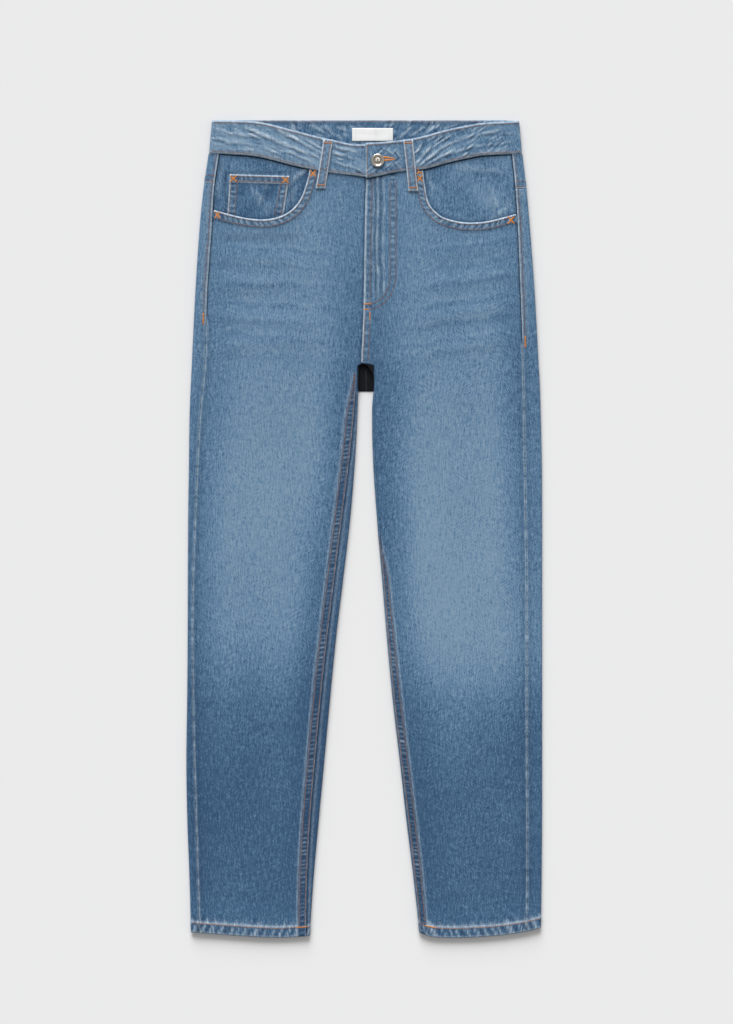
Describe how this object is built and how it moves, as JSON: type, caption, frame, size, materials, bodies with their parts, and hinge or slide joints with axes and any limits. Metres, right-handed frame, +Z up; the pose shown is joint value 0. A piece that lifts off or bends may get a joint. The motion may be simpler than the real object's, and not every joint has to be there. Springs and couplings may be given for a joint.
{
  "type": "straight jeans",
  "caption": "Straight ankle jeans in stonewashed denim, laid flat with the fly up: scooped pockets, coin pocket, yokes, belt loops and a shank button.",
  "frame": {"origin": "on the floor, below the middle of the outline", "axes": "+X to the wearer's left, +Y to the waist, +Z up from the floor that the back lies on"},
  "size_m": [0.4351, 1.0001, 0.0121],
  "materials": {
    "denim_faded": "stonewashed mid-blue denim twill, faded on thighs and knees",
    "denim_dark": "the same denim where it is less faded, inside the pocket mouths",
    "label_cloth": "smooth white woven tape",
    "button_metal": "antique silver plated metal"
  },
  "bodies": {
    "root": {"front_panel_right": "denim_faded", "back_panel_right": "denim_faded", "back_yoke_right": "denim_faded", "back_pocket_right": "denim_faded", "pocket_facing_right": "denim_dark", "belt_loop_front_right": "denim_faded", "front_panel_left": "denim_faded", "back_panel_left": "denim_faded", "back_yoke_left": "denim_faded", "back_pocket_left": "denim_faded", "pocket_facing_left": "denim_dark", "belt_loop_front_left": "denim_faded", "belt_loop_back_right": "denim_faded", "belt_loop_back_centre": "denim_faded", "belt_loop_back_left": "denim_faded", "coin_pocket": "denim_dark", "waistband": "denim_faded", "label": "label_cloth", "button": "button_metal"}
  },
  "joints": []
}
